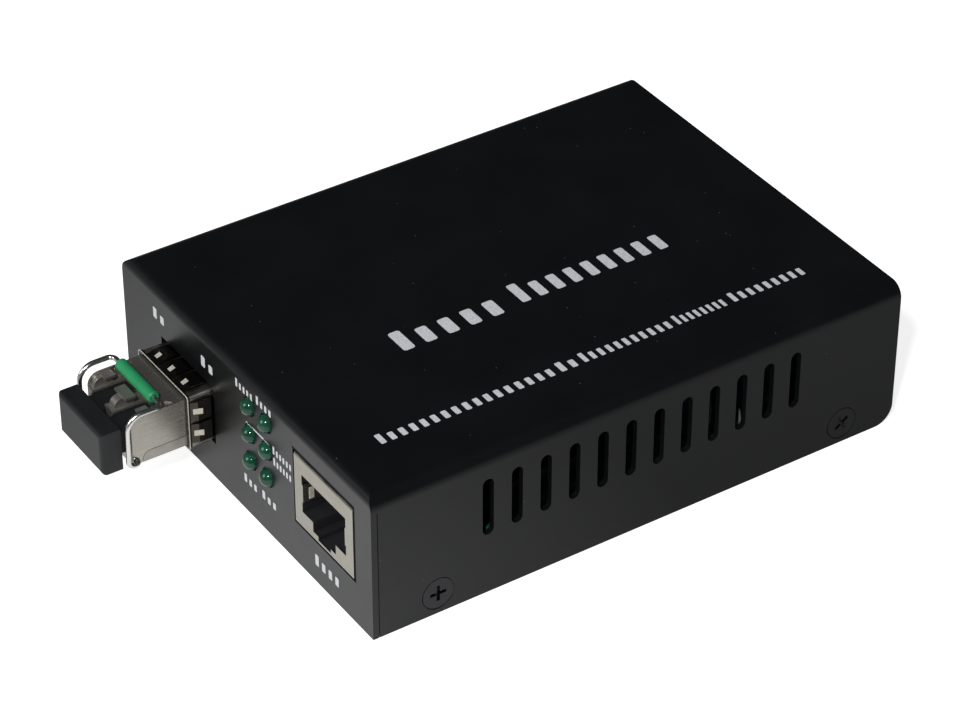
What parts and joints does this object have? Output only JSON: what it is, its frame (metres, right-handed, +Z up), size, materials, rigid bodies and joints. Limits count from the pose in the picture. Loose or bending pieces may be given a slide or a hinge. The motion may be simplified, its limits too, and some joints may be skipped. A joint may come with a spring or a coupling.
{
  "type": "fibre media converter",
  "caption": "Compact steel box that joins a pluggable optical module with a bail latch and dust plug to a shielded modular jack, with status lamps and side vents.",
  "frame": {"origin": "centre of the case's underside", "axes": "+Z up, -Y out of the front panel, +X towards the vented side seen in the picture"},
  "size_m": [0.071, 0.112, 0.0254],
  "materials": {
    "case_paint": "fine satin powder coat",
    "dark_screw": "black zinc",
    "zinc": "bright zinc",
    "pillar_steel": "plain",
    "board_green": "solder mask over glass laminate",
    "chip_black": "moulded epoxy",
    "crystal_can": "drawn can",
    "can_sleeve": "shrunk sleeve",
    "ferrite": "sintered",
    "small_part": "ceramic",
    "holder_black": "matt",
    "lamp_green": "clear tinted epoxy",
    "tinned_wire": "tinned",
    "shield_nickel": "warm nickel plate",
    "jack_black": "moulded",
    "contact_gold": "gold flash",
    "inlet_black": "moulded",
    "inlet_nickel": "nickel plate",
    "cage_nickel": "nickel plate",
    "collar_spring": "dull tin over copper alloy",
    "module_zinc": "nickel over zinc casting",
    "module_sheet": "nickel plate",
    "optics_steel": "turned",
    "clamp_steel": "stamped",
    "rocker_zinc": "nickel over zinc casting",
    "bail_steel": "bright stainless",
    "sleeve_green": "soft satin",
    "plug_rubber": "soft matt"
  },
  "bodies": {
    "chassis": {"top_cover": "case_paint", "base_tray": "case_paint", "cover_screws": "dark_screw", "pcb_standoffs": "pillar_steel", "pcb_screws": "zinc", "circuit_board": "board_green", "line_transformer": "chip_black", "converter_chip": "chip_black", "phy_chip": "chip_black", "memory_chip": "chip_black", "regulator": "chip_black", "input_diode": "chip_black", "inductor": "ferrite", "crystal": "crystal_can", "capacitor_1": "can_sleeve", "capacitor_2": "can_sleeve", "small_parts": "small_part", "lamp_holder": "holder_black", "lamp_leads": "tinned_wire", "lamp_1": "lamp_green", "lamp_2": "lamp_green", "lamp_3": "lamp_green", "lamp_4": "lamp_green", "lamp_5": "lamp_green", "lamp_6": "lamp_green", "rj45_shield": "shield_nickel", "rj45_housing": "jack_black", "rj45_contacts": "contact_gold", "dc_jack_body": "inlet_black", "dc_jack_pin": "inlet_nickel", "dc_jack_spring": "inlet_nickel", "sfp_cage": "cage_nickel", "cage_spring_collar": "collar_spring", "host_connector": "jack_black", "host_contacts": "contact_gold"},
    "optical_module": {"sfp_body": "module_zinc", "sfp_cover": "module_sheet", "sfp_edge_board": "board_green", "transmit_optics": "optics_steel", "receive_optics": "optics_steel", "optics_clamp": "clamp_steel", "module_chip": "chip_black", "rocker_pin": "zinc"},
    "bail": {"bail_wire": "bail_steel", "bail_sleeve": "sleeve_green"},
    "rocker": {"latch_rocker": "rocker_zinc"},
    "plug": {"dust_plug": "plug_rubber"}
  },
  "joints": [
    {"name": "module_pull", "type": "slide", "parent": "chassis", "child": "optical_module", "axis": [0, -1, 0], "range_m": [0, 0.048]},
    {"name": "bail_swing", "type": "hinge", "parent": "optical_module", "child": "bail", "pos_m": [-0.01625, -0.0595, 0.00855], "axis": [1, 0, 0], "range_deg": [0, 90]},
    {"name": "rocker_tilt", "type": "hinge", "parent": "optical_module", "child": "rocker", "pos_m": [-0.01625, -0.05295, 0.0084], "axis": [1, 0, 0], "range_deg": [0, 4]},
    {"name": "plug_pull", "type": "slide", "parent": "optical_module", "child": "plug", "axis": [0, -1, 0], "range_m": [0, 0.02]}
  ],
  "couplings": [
    {"joint": "rocker_tilt", "follows": "bail_swing", "ratio": 0.044444}
  ]
}
